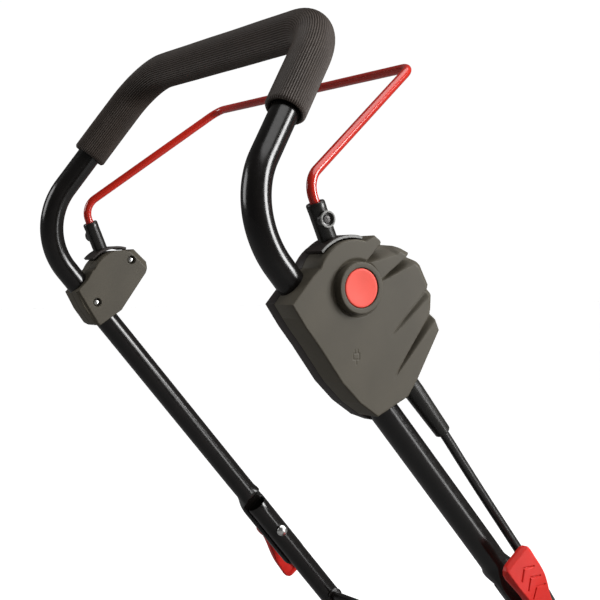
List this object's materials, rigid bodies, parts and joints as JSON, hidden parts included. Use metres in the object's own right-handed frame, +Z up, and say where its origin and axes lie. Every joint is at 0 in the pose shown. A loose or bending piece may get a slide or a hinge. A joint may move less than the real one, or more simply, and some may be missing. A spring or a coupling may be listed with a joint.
{
  "type": "reel mower",
  "caption": "Electric reel mower with side wheels, belt-driven helical reel, rear roller, folding tube handle, bail, lock-off switch box and cam levers.",
  "frame": {"origin": "on the ground, at the middle of the whole width and length, handle up", "axes": "+X to the operator's right, +Y the direction of travel, +Z up"},
  "size_m": [0.567, 0.7921, 1.0573],
  "materials": {
    "black_paint": "gloss black powder coat",
    "foam": "finely ribbed soft foam",
    "dark_plastic": "matt, fine grain",
    "gloss_plastic": "smooth gloss",
    "steel": "bright zinc",
    "blade_steel": "ground edge",
    "red_metal": "gloss red",
    "red_plastic": "semi gloss red",
    "coral_plastic": "satin coral red",
    "cable_sheath": "smooth gloss",
    "tyre": "moulded tread",
    "aluminium": "cast",
    "copper": "wound copper",
    "dark_metal": "satin black"
  },
  "bodies": {
    "cutting_unit": {"side_plate_right": "dark_plastic", "side_plate_left": "dark_plastic", "handle_pivot_bolts": "steel", "tie_rods": "steel", "bed_bar": "dark_metal", "bed_knife": "blade_steel", "deck_screws": "steel", "axle_stubs": "steel", "bearings": "steel", "hood": "red_plastic", "motor_case": "aluminium", "motor_clamps": "dark_metal", "belt_guard": "dark_plastic", "drive_belt": "cable_sheath", "cable_gland": "gloss_plastic", "cable_deck": "cable_sheath"},
    "lower_handle": {"lower_tube_right": "black_paint", "lower_tube_left": "black_paint", "tube_plugs": "dark_plastic", "cross_brace": "black_paint", "cable_lower": "cable_sheath", "cable_clips": "gloss_plastic"},
    "upper_handle": {"upper_tube": "black_paint", "flat_ends": "black_paint", "grip_foam": "foam", "joint_bolts": "steel", "switch_box_outer": "dark_plastic", "switch_box_inner": "dark_plastic", "housing_screws": "steel", "button_ring": "dark_plastic", "microswitch": "dark_plastic", "mains_inlet": "dark_plastic", "cable_boot": "gloss_plastic", "cable_upper": "cable_sheath", "bracket_inner_cover": "dark_plastic", "bracket_outer_cover": "dark_plastic", "button_spring": "steel"},
    "bail": {"bail_wire": "red_metal", "bail_hub_right": "dark_plastic", "bail_hub_left": "dark_plastic", "bail_screws": "steel"},
    "lock_button": {"lock_button": "coral_plastic"},
    "cam_lever_right": {"cam_lever_right": "red_plastic"},
    "cam_lever_left": {"cam_lever_left": "red_plastic"},
    "reel": {"reel_shaft": "steel", "reel_spiders": "dark_metal", "reel_blades": "blade_steel", "reel_pulley": "dark_metal"},
    "motor_rotor": {"motor_rotor": "copper", "motor_pulley": "steel"},
    "wheel_right": {"tyre_right": "tyre", "rim_right": "dark_plastic", "hub_cap_right": "red_plastic"},
    "wheel_left": {"tyre_left": "tyre", "rim_left": "dark_plastic", "hub_cap_left": "red_plastic"},
    "roller_frame": {"roller_carrier": "dark_metal", "height_lever": "red_plastic", "roller_pins": "steel"},
    "rear_roller": {"rear_roller": "dark_metal"}
  },
  "joints": [
    {"name": "handle_tilt", "type": "hinge", "parent": "cutting_unit", "child": "lower_handle", "pos_m": [0, 0.161, 0.215], "axis": [-1, 0, 0], "range_deg": [0, 30]},
    {"name": "handle_fold", "type": "hinge", "parent": "lower_handle", "child": "upper_handle", "pos_m": [0, -0.09525, 0.51292], "axis": [-1, 0, 0], "range_deg": [0, 120], "deforming": ["cable_upper", "cable_lower"]},
    {"name": "bail_pull", "type": "hinge", "parent": "upper_handle", "child": "bail", "pos_m": [0, -0.30639, 0.812], "axis": [1, 0, 0], "range_deg": [0, 18], "stiffness_Nm_per_rad": 1.2, "springref_deg": -17.19},
    {"name": "button_press", "type": "slide", "parent": "upper_handle", "child": "lock_button", "axis": [-1, 0, 0], "range_m": [0, 0.0035], "stiffness_N_per_m": 800, "springref_m": -0.002, "deforming": ["button_spring"]},
    {"name": "lever_right_open", "type": "hinge", "parent": "upper_handle", "child": "cam_lever_right", "pos_m": [0.243, -0.09525, 0.51292], "axis": [0, 0.7581, 0.6521], "range_deg": [0, 95]},
    {"name": "lever_left_open", "type": "hinge", "parent": "upper_handle", "child": "cam_lever_left", "pos_m": [-0.243, -0.09525, 0.51292], "axis": [0, 0.7581, 0.6521], "range_deg": [0, 95]},
    {"name": "wheel_right_spin", "type": "hinge", "parent": "cutting_unit", "child": "wheel_right", "pos_m": [0, 0.271, 0.125], "axis": [1, 0, 0], "continuous": true},
    {"name": "wheel_left_spin", "type": "hinge", "parent": "cutting_unit", "child": "wheel_left", "pos_m": [0, 0.271, 0.125], "axis": [1, 0, 0], "continuous": true},
    {"name": "reel_spin", "type": "hinge", "parent": "cutting_unit", "child": "reel", "pos_m": [0, 0.306, 0.108], "axis": [1, 0, 0], "continuous": true},
    {"name": "rotor_spin", "type": "hinge", "parent": "cutting_unit", "child": "motor_rotor", "pos_m": [0, 0.197, 0.196], "axis": [1, 0, 0], "continuous": true},
    {"name": "height_adjust", "type": "hinge", "parent": "cutting_unit", "child": "roller_frame", "pos_m": [0, 0.179, 0.078], "axis": [1, 0, 0], "range_deg": [0, 10]},
    {"name": "rear_roller_spin", "type": "hinge", "parent": "roller_frame", "child": "rear_roller", "pos_m": [0, 0.106, 0.022], "axis": [1, 0, 0], "continuous": true}
  ],
  "couplings": [
    {"joint": "rotor_spin", "follows": "reel_spin", "ratio": 2.5}
  ]
}
